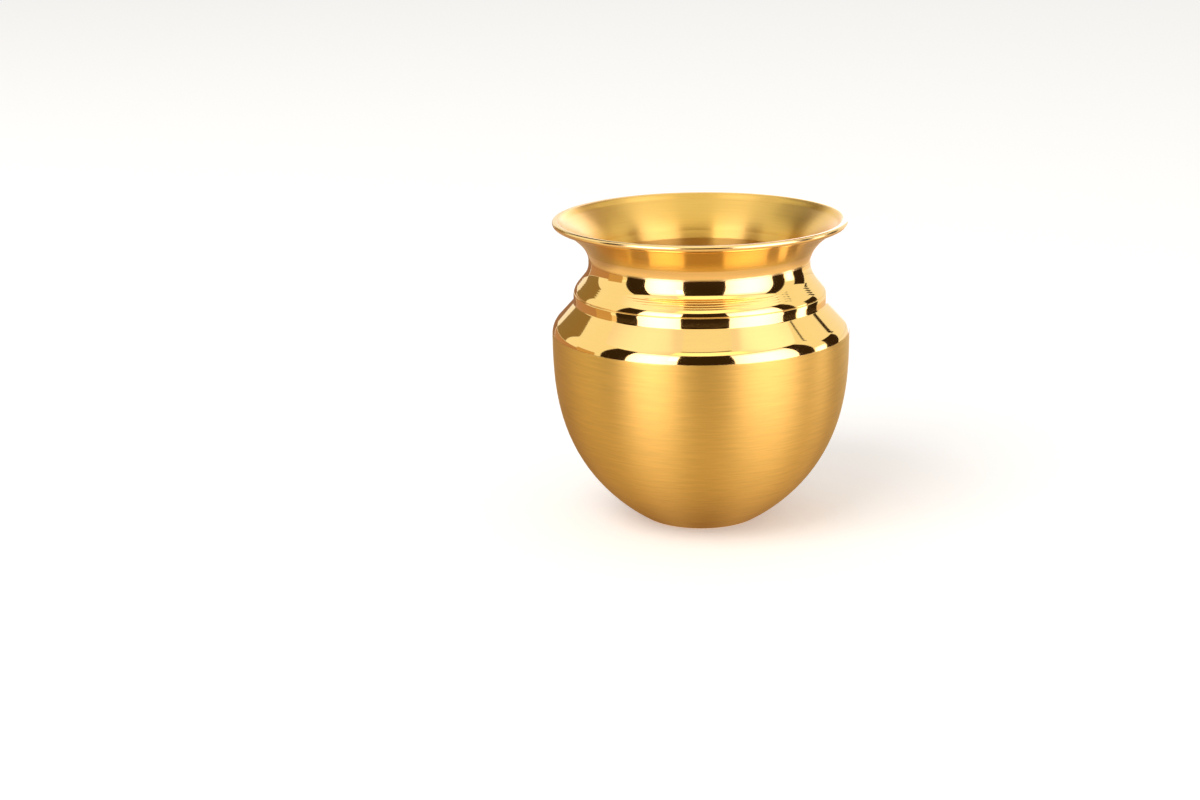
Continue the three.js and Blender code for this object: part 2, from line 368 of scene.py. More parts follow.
def neck_station(rise, settings):
    """The neck's outer face at a height above the throat. Its middle line opens as a parabola."""
    sizes, sheet = settings.neck, settings.sheet
    lean = -math.atan(2 * sizes.overhang * rise / sizes.rise ** 2)
    middle = Vector((
        THROAT_RADIUS - sheet.thickness / 2 + sizes.overhang * (rise / sizes.rise) ** 2,
        THROAT_HEIGHT + rise,
    ))
    outer = middle + normal_at(lean) * sheet.thickness / 2
    return Station(outer.x, outer.y, lean)


def eased_corner(before, after, reach):
    """Joins two rows of points with a smooth curve that begins and ends some way from their corner."""
    while len(before) > 2 and (before[-1] - after[0]).length < reach:
        before = before[:-1]
    corner = after[0]
    while len(after) > 2 and (after[0] - corner).length < reach:
        after = after[1:]
    leave = (before[-1] - before[-2]).normalized()
    arrive = (after[1] - after[0]).normalized()
    gap = (after[0] - before[-1]).length
    round_handle = 0.36
    handle = gap * round_handle
    points = 14
    curve = interpolate_bezier(
        before[-1].to_3d(), (before[-1] + leave * handle).to_3d(),
        (after[0] - arrive * handle).to_3d(), after[0].to_3d(), points,
    )
    return before + [point.to_2d() for point in curve[1:-1]] + after


def straight(points, step):
    """A row of points along straight lines through the given points, no further apart than the step."""
    row = [points[0]]
    for start, end in zip(points, points[1:]):
        pieces = max(1, math.ceil((end - start).length / step))
        row += [start.lerp(end, piece / pieces) for piece in range(1, pieces + 1)]
    return row


# Which finish a ring of the outline has. The lathe gives each face the finish that its rings have.
OUTSIDE, EDGE, INSIDE = 0.0, 1.0, 2.0


def finished(points, finish):
    """The points, each with the finish of the face there."""
    return [(point, finish) for point in points]


def bowl_outline(settings):
    """The bowl's closed outline, from the centre of its foot round to the centre of its floor."""
    sizes, sheet, lathe = settings.bowl, settings.sheet, settings.lathe
    face, _ = belly_face(settings)
    ring_edge = face[-1].r
    rim = ring_edge - sizes.foot_ring_width
    slope_top = rim - sizes.recess_slope
    ease = sizes.recess_slope / 3
    step, fine_step = lathe.ring_step * 2, ease / 2

    def recess(lift):
        centre = Vector((0, sizes.recess_depth + lift))
        top = Vector((slope_top, sizes.recess_depth + lift))
        bottom = Vector((rim, lift))
        ring = Vector((ring_edge, lift))
        row = eased_corner(straight([centre, top], step), straight([top, bottom], fine_step), ease)
        return eased_corner(row, straight([bottom, ring], fine_step), ease)

    underside = recess(0)
    floor = recess(sheet.thickness)
    outside = [outer_point(at) for at in reversed(face)]
    inside = [inner_point(at, sheet) for at in face]
    return (
        finished(underside[:-1] + outside, OUTSIDE)
        + finished(inside + [point for point in reversed(floor) if point.x < inside[-1].x], INSIDE)
    )


def shoulder_outline(settings):
    """The shoulder's closed outline, with the spigot that drops into the bowl."""
    sheet, lathe = settings.sheet, settings.lathe
    face, above_joggle = shoulder_face(settings)
    seam = face[-1]
    radius, top, foot = belly_spigot(settings)
    spigot = straight([
        Vector((radius - sheet.thickness, top)),
        Vector((radius - sheet.thickness, foot)),
        Vector((radius, foot)),
        Vector((radius, top)),
        outer_point(seam),
    ], lathe.ring_step)
    outside = [outer_point(at) for at in reversed(face)]
    inside = [inner_point(at, sheet) for at in face[:above_joggle] if not at.outer_only]
    return finished(outside, OUTSIDE) + finished(inside + spigot[:-1], INSIDE)


def belly_spigot(settings):
    """Outer radius, top and foot of the shoulder's spigot, an easy fit inside the bowl's lip."""
    sheet = settings.sheet
    seam = shoulder_face(settings)[0][-1]
    lip = lip_face(settings)
    _, lap_foot = belly_face(settings)
    radius = min(inner_point(lip[0], sheet).x, inner_point(lap_foot, sheet).x) - sheet.braze_film
    top = seam.z - (seam.r - radius) * math.tan(settings.shoulder.seam_angle)
    return radius, top, inner_point(lap_foot, sheet).y


def neck_spigot(settings):
    """Outer radius and foot of the neck's spigot, an easy fit inside the shoulder's collar."""
    sheet = settings.sheet
    return THROAT_RADIUS - sheet.thickness - sheet.braze_film, inner_point(collar_face(settings)[-1], sheet).y


def neck_outline(settings):
    """The neck's closed outline: flare, rolled lip, inside of the flare and spigot."""
    sizes, sheet, lathe = settings.neck, settings.sheet, settings.lathe
    roll = sizes.lip_thickness / 2
    end = neck_station(sizes.rise, settings)
    outwards = normal_at(end.lean)
    forwards = Vector((-outwards.y, outwards.x))
    centre = outer_point(end) - outwards * sheet.thickness / 2
    centre -= forwards * (sizes.lip_reach - roll)
    half_sheet = sheet.thickness / 2 / roll
    set_back = sizes.lip_reach - roll + sizes.lip_reach * math.sqrt(1 - half_sheet ** 2)
    flare_end = sizes.rise - set_back * forwards.y
    steps = math.ceil(sizes.rise / lathe.ring_step * 2)
    flare = [neck_station(flare_end * step / steps, settings) for step in range(steps + 1)]
    reach = math.pi - math.asin(half_sheet)
    turns = 48  # Even, so that the lip's tip is one of its points
    angles = [reach * (1 - 2 * turn / turns) for turn in range(turns + 1)]
    lip = [centre + forwards * sizes.lip_reach * math.cos(a) + outwards * roll * math.sin(a) for a in angles]
    outside = [outer_point(at) for at in flare]
    inside = [inner_point(at, sheet) for at in reversed(flare) if at.z > THROAT_HEIGHT + sheet.neck_joggle]
    half = len(lip) // 2
    outer_row = eased_corner(outside, lip[:half], sizes.lip_ease_outside)
    inner_row = eased_corner(lip[half:], inside, sizes.lip_ease_inside)
    radius, foot = neck_spigot(settings)
    spigot = straight([
        Vector((radius - sheet.thickness, THROAT_HEIGHT)),
        Vector((radius - sheet.thickness, foot)),
        Vector((radius, foot)),
        Vector((radius, THROAT_HEIGHT)),
    ], lathe.ring_step)
    lip_from = flare[-1].z - sizes.lip_polish
    polished_to = THROAT_HEIGHT + sizes.throat_polish
    rows = []
    for point in outer_row:
        rows.append((point, OUTSIDE if polished_to < point.y < lip_from else EDGE))
    tip_from = sizes.lip_reach / 4
    for point in inner_row:
        on_tip = (point - centre).dot(forwards) > tip_from
        rows.append((point, EDGE if on_tip else INSIDE))
    return rows + finished(spigot, INSIDE)


def belly_braze_outline(settings):
    """The filler metal between the ledge, the spigot and the bowl's lip."""
    sheet, lathe = settings.sheet, settings.lathe
    radius, top, foot = belly_spigot(settings)
    lip = lip_face(settings)
    _, lap_foot = belly_face(settings)
    seam = shoulder_face(settings)[0][-1]
    bowl_side = [inner_point(at, sheet) for at in reversed(lip + [lap_foot])]
    return finished(straight([
        Vector((radius, foot)), *bowl_side, outer_point(lip[0]), outer_point(seam), Vector((radius, top)),
    ], lathe.ring_step * 2), OUTSIDE)


def neck_braze_outline(settings):
    """The filler metal between the neck's spigot and the shoulder's collar."""
    sheet, lathe = settings.sheet, settings.lathe
    radius, foot = neck_spigot(settings)
    collar = collar_face(settings)
    collar_side = [inner_point(at, sheet) for at in reversed(collar)]
    return finished(straight([
        Vector((radius, foot)), *collar_side, outer_point(collar[0]),
        Vector((THROAT_RADIUS, THROAT_HEIGHT)), Vector((radius, THROAT_HEIGHT)),
    ], lathe.ring_step * 2), OUTSIDE)


def add_node(tree, kind, inputs=None, **settings):
    """Adds a node, sets its settings, and links or fills its inputs by name or number.

    A node that is given as an input stands for its first output.
    """
    node = tree.nodes.new(kind)
    for key, value in settings.items():
        setattr(node, key, value)
    for key, value in (inputs or {}).items():
        if isinstance(value, bpy.types.Node):
            value = value.outputs[0]
        if isinstance(value, bpy.types.NodeSocket):
            tree.links.new(value, node.inputs[key])
        else:
            node.inputs[key].default_value = value
    return node


def lathe_tree():
    """The node tree that turns an outline round the Z axis, adds the slow waver and sets the finishes."""
    tree = bpy.data.node_groups.new("Spun on the lathe", "GeometryNodeTree")
    tree.is_modifier = True
    sockets = {
        "Outline": "Geometry", "Sides": "Int", "Weld": "Float", "Waver": "Float", "Waver Length": "Float",
        "Seed": "Int", "Outside Finish": "Material", "Edge Finish": "Material", "Inside Finish": "Material",
    }
    for name, kind in sockets.items():
        tree.interface.new_socket(name, in_out="INPUT", socket_type=f"NodeSocket{kind}")
    tree.interface.new_socket("Shell", in_out="OUTPUT", socket_type="NodeSocketGeometry")
    given = add_node(tree, "NodeGroupInput").outputs

    place = add_node(tree, "GeometryNodeInputPosition").outputs["Position"]
    outline = add_node(tree, "GeometryNodeMeshToCurve", {"Mesh": given["Outline"]})
    section = add_node(tree, "GeometryNodeCaptureAttribute", {"Geometry": outline})
    section.capture_items.new("VECTOR", "Section")
    tree.links.new(place, section.inputs["Section"])
    circle = add_node(tree, "GeometryNodeCurvePrimitiveCircle", {"Resolution": given["Sides"], "Radius": 1.0})
    round_axis = add_node(tree, "GeometryNodeCaptureAttribute", {"Geometry": circle})
    round_axis.capture_items.new("VECTOR", "Direction")
    tree.links.new(place, round_axis.inputs["Direction"])
    skin = add_node(tree, "GeometryNodeCurveToMesh", {"Curve": round_axis, "Profile Curve": section})

    parts = add_node(tree, "ShaderNodeSeparateXYZ", {"Vector": section.outputs["Section"]}).outputs
    direction = round_axis.outputs["Direction"]
    spread = add_node(tree, "ShaderNodeVectorMath", {0: direction, "Scale": parts["X"]}, operation="SCALE")
    lift = add_node(tree, "ShaderNodeCombineXYZ", {"Z": parts["Z"]})
    turned = add_node(tree, "ShaderNodeVectorMath", {0: spread, 1: lift}, operation="ADD")
    placed = add_node(tree, "GeometryNodeSetPosition", {"Geometry": skin, "Position": turned})
    welded = add_node(tree, "GeometryNodeMergeByDistance", {"Geometry": placed, "Distance": given["Weld"]})

    waves = add_node(tree, "ShaderNodeMath", {0: 1.0, 1: given["Waver Length"]}, operation="DIVIDE")
    noise = add_node(tree, "ShaderNodeTexNoise", {
        "Vector": place, "W": given["Seed"], "Scale": waves, "Detail": 0.0,
    }, noise_dimensions="4D")
    noise_middle = 0.5
    level = add_node(tree, "ShaderNodeMath", {0: noise, 1: noise_middle}, operation="SUBTRACT")
    height = add_node(tree, "ShaderNodeMath", {0: level, 1: given["Waver"]}, operation="MULTIPLY")
    normal = add_node(tree, "GeometryNodeInputNormal").outputs["Normal"]
    shift = add_node(tree, "ShaderNodeVectorMath", {0: normal, "Scale": height}, operation="SCALE")
    wavered = add_node(tree, "GeometryNodeSetPosition", {"Geometry": welded, "Offset": shift})

    smooth = add_node(tree, "GeometryNodeSetShadeSmooth", {"Geometry": wavered})
    angle = add_node(tree, "GeometryNodeInputMeshEdgeAngle").outputs["Unsigned Angle"]
    sharpest_smooth = math.radians(40)
    sharp = add_node(tree, "FunctionNodeCompare", {0: angle, 1: sharpest_smooth}, operation="GREATER_THAN")
    crisp = add_node(tree, "GeometryNodeSetShadeSmooth", {
        "Geometry": smooth, "Selection": sharp, "Shade Smooth": False,
    }, domain="EDGE")
    metal = add_node(tree, "GeometryNodeRealizeInstances", {"Geometry": crisp})

    finish = add_node(tree, "GeometryNodeInputNamedAttribute", {"Name": "finish"}, data_type="FLOAT")
    half_step = 0.5
    for name, value in (("Outside Finish", OUTSIDE), ("Edge Finish", EDGE), ("Inside Finish", INSIDE)):
        chosen = add_node(tree, "FunctionNodeCompare", {
            0: finish, 1: value - half_step,
        }, operation="GREATER_THAN")
        metal = add_node(tree, "GeometryNodeSetMaterial", {
            "Geometry": metal, "Selection": chosen, "Material": given[name],
        })
    add_node(tree, "NodeGroupOutput", {"Shell": metal})
    return tree


def in_scene(name, data):
    """Adds an object to the scene at the origin."""
    thing = bpy.data.objects.new(name, data)
    bpy.context.scene.collection.objects.link(thing)
    return thing


def paint(mesh, name, values):
    """Gives a mesh one number for each of its points."""
    mesh.attributes.new(name, "FLOAT", "POINT").data.foreach_set("value", values)


def outline_object(name, outline):
    """A mesh of one row of points in the plane of the axis, with its finish and its length along the row."""
    on_axis = 1e-9
    closed = outline[0][0].x > on_axis
    mesh = bpy.data.meshes.new(name)
    edges = [(i, i + 1) for i in range(len(outline) - 1)]
    if closed:
        edges.append((len(outline) - 1, 0))
    mesh.from_pydata([(point.x, 0, point.y) for point, _ in outline], edges, [])
    along = [0.0]
    for (before, _), (after, _) in zip(outline, outline[1:]):
        along.append(along[-1] + (after - before).length)
    paint(mesh, "finish", [finish for _, finish in outline])
    paint(mesh, "along", along)
    return in_scene(name, mesh)


def spin(name, outline, settings, materials):
    """Turns an outline into a finished shell: a plain mesh at the origin, with outward faces."""
    lathe = settings.lathe
    piece = outline_object(name, outline)
    tree = bpy.data.node_groups.get("Spun on the lathe") or lathe_tree()
    modifier = piece.modifiers.new("Spun on the lathe", "NODES")
    modifier.node_group = tree
    values = {
        "Sides": lathe.sides, "Weld": lathe.weld, "Waver": lathe.waver, "Waver Length": lathe.waver_length,
        "Seed": lathe.seed, "Outside Finish": materials[0], "Edge Finish": materials[1],
        "Inside Finish": materials[2],
    }
    for socket in tree.interface.items_tree:
        if socket.name in values:
            modifier[socket.identifier] = values[socket.name]
    graph = bpy.context.evaluated_depsgraph_get()
    spun = bpy.data.meshes.new_from_object(
        piece.evaluated_get(graph), preserve_all_data_layers=True, depsgraph=graph,
    )
    piece.modifiers.remove(modifier)
    piece.data = spun
    spun.name = name
    shape = bmesh.new()
    shape.from_mesh(spun)
    bmesh.ops.recalc_face_normals(shape, faces=shape.faces)
    shape.to_mesh(spun)
    shape.free()
    return piece


def blank_material(name):
    """A new material with no nodes, and its tree."""
    material = bpy.data.materials.new(name)
    material.use_nodes = True
    material.node_tree.nodes.clear()
    return material, material.node_tree


def lathe_lines(tree, spacing, stretch):
    """Fine lines that run round the axis: a noise drawn long round the pot and short along its outline."""
    place = add_node(tree, "ShaderNodeTexCoord").outputs["Object"]
    axes = add_node(tree, "ShaderNodeSeparateXYZ", {0: place}).outputs
    flat = add_node(tree, "ShaderNodeCombineXYZ", {"X": axes["X"], "Y": axes["Y"]})
    way = add_node(tree, "ShaderNodeVectorMath", {0: flat}, operation="NORMALIZE")
    arcs = add_node(tree, "ShaderNodeVectorMath", {0: way, "Scale": stretch}, operation="SCALE")
    along = add_node(tree, "ShaderNodeAttribute", attribute_name="along").outputs["Fac"]
    rings = add_node(tree, "ShaderNodeMath", {0: along, 1: spacing}, operation="DIVIDE")
    rise = add_node(tree, "ShaderNodeCombineXYZ", {"Z": rings})
    point = add_node(tree, "ShaderNodeVectorMath", {0: arcs, 1: rise}, operation="ADD")
    return add_node(tree, "ShaderNodeTexNoise", {
        "Vector": point, "Scale": 1.0, "Detail": 3.0, "Roughness": 0.6,
    })


def chatter_marks(tree, spacing, depth):
    """Short ripples in patches low on the belly, where the turning tool shook against the thin sheet."""
    patch_size = 5 * MM
    place = add_node(tree, "ShaderNodeTexCoord").outputs["Object"]
    height = add_node(tree, "ShaderNodeSeparateXYZ", {0: place}).outputs["Z"]
    along = add_node(tree, "ShaderNodeAttribute", attribute_name="along").outputs["Fac"]
    turns = add_node(tree, "ShaderNodeMath", {0: along, 1: 2 * math.pi / spacing}, operation="MULTIPLY")
    marks = add_node(tree, "ShaderNodeMath", {0: turns}, operation="SINE")
    patches = add_node(tree, "ShaderNodeTexNoise", {"Vector": place, "Scale": 1 / patch_size, "Detail": 1.0})
    # They lie in the patches, above the foot and below the middle
    for value, none, full in ((patches, 0.5, 0.62), (height, 4 * MM, 9 * MM), (height, 24 * MM, 17 * MM)):
        share = add_node(tree, "ShaderNodeMapRange", {"Value": value, "From Min": none, "From Max": full})
        marks = add_node(tree, "ShaderNodeMath", {0: marks, 1: share}, operation="MULTIPLY")
    return add_node(tree, "ShaderNodeMath", {0: marks, 1: depth}, operation="MULTIPLY")


def turned_metal(name, colour, roughness, spacing, stretch, depth, shade, grain=0.0, chatter=None):
    """A metal with turned lines, drawn as shallow grooves and as a slight change of tone.

    The lines are drawn further apart than the real ones, about as coarse as they need to be to show. Their
    stretch says how often they break off round the pot. A grain runs round the pot and smears light along the
    outline. Chatter is the spacing and the depth of the ripples that the turning tool left.
    """
    material, tree = blank_material(name)
    shader = add_node(tree, "ShaderNodeBsdfPrincipled", {
        "Base Color": colour, "Metallic": 1.0, "Roughness": roughness, "Anisotropic": grain,
    })
    add_node(tree, "ShaderNodeOutputMaterial", {"Surface": shader})
    if grain:
        quarter_turn = 0.25
        tangent = add_node(tree, "ShaderNodeTangent", direction_type="RADIAL", axis="Z")
        tree.links.new(tangent.outputs[0], shader.inputs["Tangent"])
        shader.inputs["Anisotropic Rotation"].default_value = quarter_turn
    lines = lathe_lines(tree, spacing, stretch)
    height = add_node(tree, "ShaderNodeMath", {0: lines, 1: depth}, operation="MULTIPLY")
    if chatter:
        marks = chatter_marks(tree, *chatter)
        height = add_node(tree, "ShaderNodeMath", {0: height, 1: marks}, operation="ADD")
    bump = add_node(tree, "ShaderNodeBump", {"Strength": 1.0, "Distance": 1.0, "Height": height})
    tree.links.new(bump.outputs["Normal"], shader.inputs["Normal"])
    contrast = add_node(tree, "ShaderNodeMapRange", {"Value": lines, "From Min": 0.3, "From Max": 0.7})
    darker = tuple(c * (1 - shade) for c in colour[:3]) + (1.0,)
    tone = add_node(tree, "ShaderNodeMix", {0: contrast, 6: darker, 7: colour}, data_type="RGBA")
    tree.links.new(tone.outputs[2], shader.inputs["Base Color"])
    return material


def satin_turned_brass(finish):
    """Spun yellow brass, satin-turned on the lathe with fine abrasive.

    The lines run round the pot, so a light smears into a tall soft band and stays narrow across.
    """
    return turned_metal(
        "satin turned brass", tuple(finish.satin_colour), finish.satin_roughness,
        spacing=0.4 * MM, stretch=4.0, depth=0.015 * MM, shade=0.12, grain=0.76,
        chatter=(0.95 * MM, 0.012 * MM),
    )


def fine_turned_brass(finish):
    """The inside of the flare: turned with a finer abrasive, so its upright streaks are sharper."""
    return turned_metal(
        "fine turned brass", tuple(finish.flare_colour), finish.flare_roughness,
        spacing=0.35 * MM, stretch=2.0, depth=0.009 * MM, shade=0.06, grain=0.95,
    )


def mirror_buffed_brass(finish):
    """Yellow brass buffed to a mirror on a mop.

    It shows the room in blocks with crisp edges, through the faintest trace of the lines it was turned with.
    """
    return turned_metal(
        "mirror buffed brass", tuple(finish.mirror_colour), finish.mirror_roughness,
        spacing=0.6 * MM, stretch=1.6, depth=0.0012 * MM, shade=0.02,
    )


def softly_buffed_brass(finish):
    """The rolled lip and the throat: brass buffed softly, so that it mirrors with blurred edges."""
    return turned_metal(
        "softly buffed brass", tuple(finish.lip_colour), finish.lip_roughness,
        spacing=0.5 * MM, stretch=1.6, depth=0.002 * MM, shade=0.04,
    )


def half_buffed_brass(finish):
    """The underside of the flare: brass buffed lightly over the lines of the lathe.

    The lines smear what it mirrors into upright streaks, sharp at their sides.
    """
    return turned_metal(
        "half buffed brass", tuple(finish.under_colour), finish.under_roughness,
        spacing=0.45 * MM, stretch=2.0, depth=0.006 * MM, shade=0.12, grain=0.95,
    )


def raw_spun_brass(finish):
    """The inside of the pot: brass as the spinning tool left it, so it is duller and more coarsely lined."""
    return turned_metal(
        "raw spun brass", tuple(finish.inside_colour), finish.inside_roughness,
        spacing=0.7 * MM, stretch=1.2, depth=0.02 * MM, shade=0.12,
    )


def brazing_filler(finish):
    """Brass brazing filler, dressed flush and buffed with the seam, so it shows as a hairline at most."""
    return turned_metal(
        "brazing filler", tuple(finish.braze_colour), finish.braze_roughness,
        spacing=0.3 * MM, stretch=3.0, depth=0.003 * MM, shade=0.1,
    )


def finish_named(maker, finish):
    """The material that a maker function makes, made once."""
    name = maker.__name__.replace("_", " ")
    return bpy.data.materials.get(name) or maker(finish)


def make_piece(name, outline, finishes, node):
    """Spins a piece with its outside, edge and inside finish, and gives it its place in the frame."""
    settings = bpy.context.scene.lota
    materials = [finish_named(maker, settings.finish) for maker in finishes]
    piece = spin(name, outline(settings), settings, materials)
    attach(piece, BODY)
    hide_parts(node)


class LOTA_OT_bowl(Operator):
    """Spin the satin bowl with its flat foot"""

    bl_idname = "lota.bowl"
    bl_label = "Spin the bowl"

    def execute(self, context):
        finishes = (satin_turned_brass, satin_turned_brass, raw_spun_brass)
        make_piece("satin_belly", bowl_outline, finishes, "belly_bowl")
        return {"FINISHED"}


class LOTA_OT_shoulder(Operator):
    """Spin the mirror-polished shoulder"""

    bl_idname = "lota.shoulder"
    bl_label = "Spin the shoulder"

    def execute(self, context):
        finishes = (mirror_buffed_brass, mirror_buffed_brass, raw_spun_brass)
        make_piece("polished_shoulder", shoulder_outline, finishes, "shoulder")
        return {"FINISHED"}


class LOTA_OT_neck(Operator):
    """Spin the flared neck with its rolled lip"""

    bl_idname = "lota.neck"
    bl_label = "Spin the neck"

    def execute(self, context):
        finishes = (half_buffed_brass, softly_buffed_brass, fine_turned_brass)
        make_piece("flared_mouth", neck_outline, finishes, "flared_neck")
        return {"FINISHED"}


class LOTA_OT_seams(Operator):
    """Lay the filler metal in the two brazed seams"""

    bl_idname = "lota.seams"
    bl_label = "Braze the seams"

    def execute(self, context):
        finishes = (brazing_filler, brazing_filler, brazing_filler)
        make_piece("belly_seam", belly_braze_outline, finishes, "belly_seam_braze")
        make_piece("neck_seam", neck_braze_outline, finishes, "neck_seam_braze")
        return {"FINISHED"}


def ramp(value, start, end):
    """0 at the start, 1 at the end and straight between them."""
    return min(1, max(0, (value - start) / (end - start)))


def direction_at(azimuth):
    """The level direction that far round from the camera's side, positive towards +X."""
    return Vector((math.sin(azimuth), -math.cos(azimuth), 0))


def background_share(tree):
    """1 on rays that should see the background as it is drawn: camera, glossy and transmission rays."""
    path = add_node(tree, "ShaderNodeLightPath").outputs
    share = path["Is Camera Ray"]
    for ray in ("Is Glossy Ray", "Is Transmission Ray"):
        share = add_node(tree, "ShaderNodeMath", {0: share, 1: path[ray]}, operation="MAXIMUM")
    return share


def seen_in_metal(name, mesh, colour, strength, far_colour=None):
    """Makes a mesh a card that shows only in reflections.

    The mesh's "glow" attribute scales its strength. Where it has a far colour, that attribute blends the two
    instead, which on the warm board is its painted shade, and its "fade" attribute says how opaque it is.
    """
    material, tree = blank_material(name)
    glow = add_node(tree, "ShaderNodeAttribute", attribute_name="glow").outputs["Fac"]
    if far_colour:
        blend = add_node(tree, "ShaderNodeMix", {0: glow, 6: far_colour, 7: colour}, data_type="RGBA")
        light = add_node(tree, "ShaderNodeEmission", {"Color": blend.outputs[2], "Strength": strength})
        clear = add_node(tree, "ShaderNodeBsdfTransparent")
        fade = add_node(tree, "ShaderNodeAttribute", attribute_name="fade").outputs["Fac"]
        light = add_node(tree, "ShaderNodeMixShader", {0: fade, 1: clear, 2: light})
    else:
        power = add_node(tree, "ShaderNodeMath", {0: glow, 1: strength}, operation="MULTIPLY")
        light = add_node(tree, "ShaderNodeEmission", {"Color": colour, "Strength": power})
    add_node(tree, "ShaderNodeOutputMaterial", {"Surface": light})
    mesh.materials.append(material)
    wall = in_scene(name, mesh)
    wall.visible_camera = False
    wall.visible_diffuse = False
    wall.visible_shadow = False


def card(name, studio, arc, heights, colour, strength=1.0, side_fall=0.0, top_fall=0.0, gap=0.0, dimmest=0.0):
    """A card on an arc round the pot, from one azimuth to another in degrees and between two heights.

    Its strength falls from its middle to its sides by one share, and over its top quarter by another.
    Its strength never falls below the dimmest. It stands a gap in front of the others.
    """
    columns, rows, top_quarter = 32, 12, 0.25
    mesh = bpy.data.meshes.new(name)
    points, faces, levels = [], [], []
    for row in range(rows + 1):
        for column in range(columns + 1):
            across, up = column / columns, row / rows
            azimuth = math.radians(arc[0] + (arc[1] - arc[0]) * across)
            height = heights[0] + (heights[1] - heights[0]) * up
            points.append(direction_at(azimuth) * (studio.card_distance - gap) + Vector((0, 0, height)))
            near_top = ramp(up, start=1 - top_quarter, end=1)
            levels.append((1 - side_fall * (across * 2 - 1) ** 2) * (1 - top_fall * near_top))
    for row in range(rows):
        for column in range(columns):
            a = row * (columns + 1) + column
            faces.append((a, a + 1, a + columns + 2, a + columns + 1))
    mesh.from_pydata(points, [], faces)
    paint(mesh, "glow", [max(dimmest / strength, level) for level in levels])
    seen_in_metal(name, mesh, colour, strength)


def warm_board(studio):
    """A round warm board just above the floor, that fades out at its edge.

    Only the metal sees it. It gives the belly and the throat the tan that a white floor would bleach. Near
    the pot it is darker, as painted shade for the pot's shadow on the floor and the shade round its foot. The
    painted shade reaches further out behind the pot, most of all on the left. It is paler before the pot.
    """
    rings, sides = 48, 96
    mesh = bpy.data.meshes.new("warm_board")
    shape = bmesh.new()
    lift = Vector((0, 0, 0.2 * MM))
    rows = []
    for ring in range(1, rings + 1):
        reach = studio.board_radius * ring / rings
        rows.append([
            shape.verts.new(direction_at(2 * math.pi * side / sides) * reach + lift) for side in range(sides)
        ])
    for inner, outer in zip(rows, rows[1:]):
        for side in range(sides):
            after = (side + 1) % sides
            shape.faces.new((inner[side], inner[after], outer[after], outer[side]))
    shape.to_mesh(mesh)
    shape.free()
    # Painted shade: how much darker the board is near the pot, for the pot's shadow on the floor as the metal
    # mirrors it. The glow attribute carries it.
    painted_shade, opacity = [], []
    for point in mesh.vertices:
        radius = point.co.length
        ahead = -point.co.y / radius
        behind = ramp(-ahead, start=0.1, end=0.5)
        before = ramp(ahead, start=0, end=2 / 3) * ramp(radius, start=20 * MM, end=35 * MM)
        to_left = (1 - point.co.x / radius) / 2
        shade_reach = studio.board_shade_reach * (1 + behind * (1 + to_left))
        painted_shade.append(max(0, 1 - radius / shade_reach) * (1 - studio.board_front_lift * before))
        opacity.append(ramp(radius, start=studio.board_radius, end=studio.board_radius * 0.6))
    paint(mesh, "glow", painted_shade)
    paint(mesh, "fade", opacity)
    seen_in_metal("warm_board", mesh, tuple(studio.board_shade), 1.0, tuple(studio.board_far))


def studio_floor(studio):
    """A round floor of pale matt paper, drawn a little brighter than its light makes it.

    That makes it meet the white behind.
    """
    mesh = bpy.data.meshes.new("floor")
    shape = bmesh.new()
    bmesh.ops.create_circle(shape, cap_ends=True, segments=96, radius=studio.floor_radius)
    shape.to_mesh(mesh)
    shape.free()
    floor = in_scene("floor", mesh)
    material, tree = blank_material("matt paper floor")
    share = background_share(tree)
    lift = add_node(tree, "ShaderNodeMath", {0: share, 1: studio.floor_lift}, operation="MULTIPLY")
    paper = add_node(tree, "ShaderNodeBsdfPrincipled", {
        "Base Color": tuple(studio.floor_colour), "Roughness": 0.9, "Specular IOR Level": 0.0,
        "Emission Color": (1.0, 1.0, 1.0, 1.0), "Emission Strength": lift,
    })
    add_node(tree, "ShaderNodeOutputMaterial", {"Surface": paper})
    mesh.materials.append(material)


def studio_world(studio):
    """A white room: drawn at a strength of 1, and weaker as light."""
    world = bpy.data.worlds.new("white room")
    bpy.context.scene.world = world
    world.use_nodes = True
    tree = world.node_tree
    tree.nodes.clear()
    light = studio.room_light
    share = background_share(tree)
    strength = add_node(tree, "ShaderNodeMath", {0: share, 1: 1 - light, 2: light}, operation="MULTIPLY_ADD")
    room = add_node(tree, "ShaderNodeBackground", {"Color": (1.0, 1.0, 1.0, 1.0), "Strength": strength})
    add_node(tree, "ShaderNodeOutputWorld", {"Surface": room})


def studio_lamp(name, azimuth_degrees, height, distance, size, power):
    """A large soft lamp that lights the floor and doesn't show in the metal."""
    data = bpy.data.lights.new(name, "AREA")
    data.shape = "SQUARE"
    data.size = size
    data.energy = power
    lamp = in_scene(name, data)
    place = direction_at(math.radians(azimuth_degrees)) * distance + Vector((0, 0, height))
    lamp.matrix_world = Matrix.Translation(place) @ (-place).to_track_quat("-Z", "Y").to_matrix().to_4x4()
    lamp.visible_camera = False
    lamp.visible_glossy = False


def studio_camera(settings):
    """The camera at the picture's own angle: it looks past the pot, which stands right of the middle."""
    studio = settings.studio
    data = bpy.data.cameras.new("camera")
    data.sensor_width = 36
    data.lens = studio.focal_length
    data.clip_start = 0.01
    data.clip_end = 20
    camera = in_scene("camera", data)
    pitch = studio.camera_pitch
    ahead = Vector((0, math.cos(pitch), -math.sin(pitch)))
    up = Vector((0, math.sin(pitch), math.cos(pitch)))
    lip = Vector((0, 0, THROAT_HEIGHT + settings.neck.rise))
    place = lip - ahead * studio.camera_distance - up * studio.camera_up - Vector((studio.camera_right, 0, 0))
    tilt = Matrix.Rotation(math.pi / 2 - pitch, 4, "X") @ Matrix.Rotation(-studio.camera_roll, 4, "Z")
    camera.matrix_world = Matrix.Translation(place) @ tilt
    bpy.context.scene.camera = camera


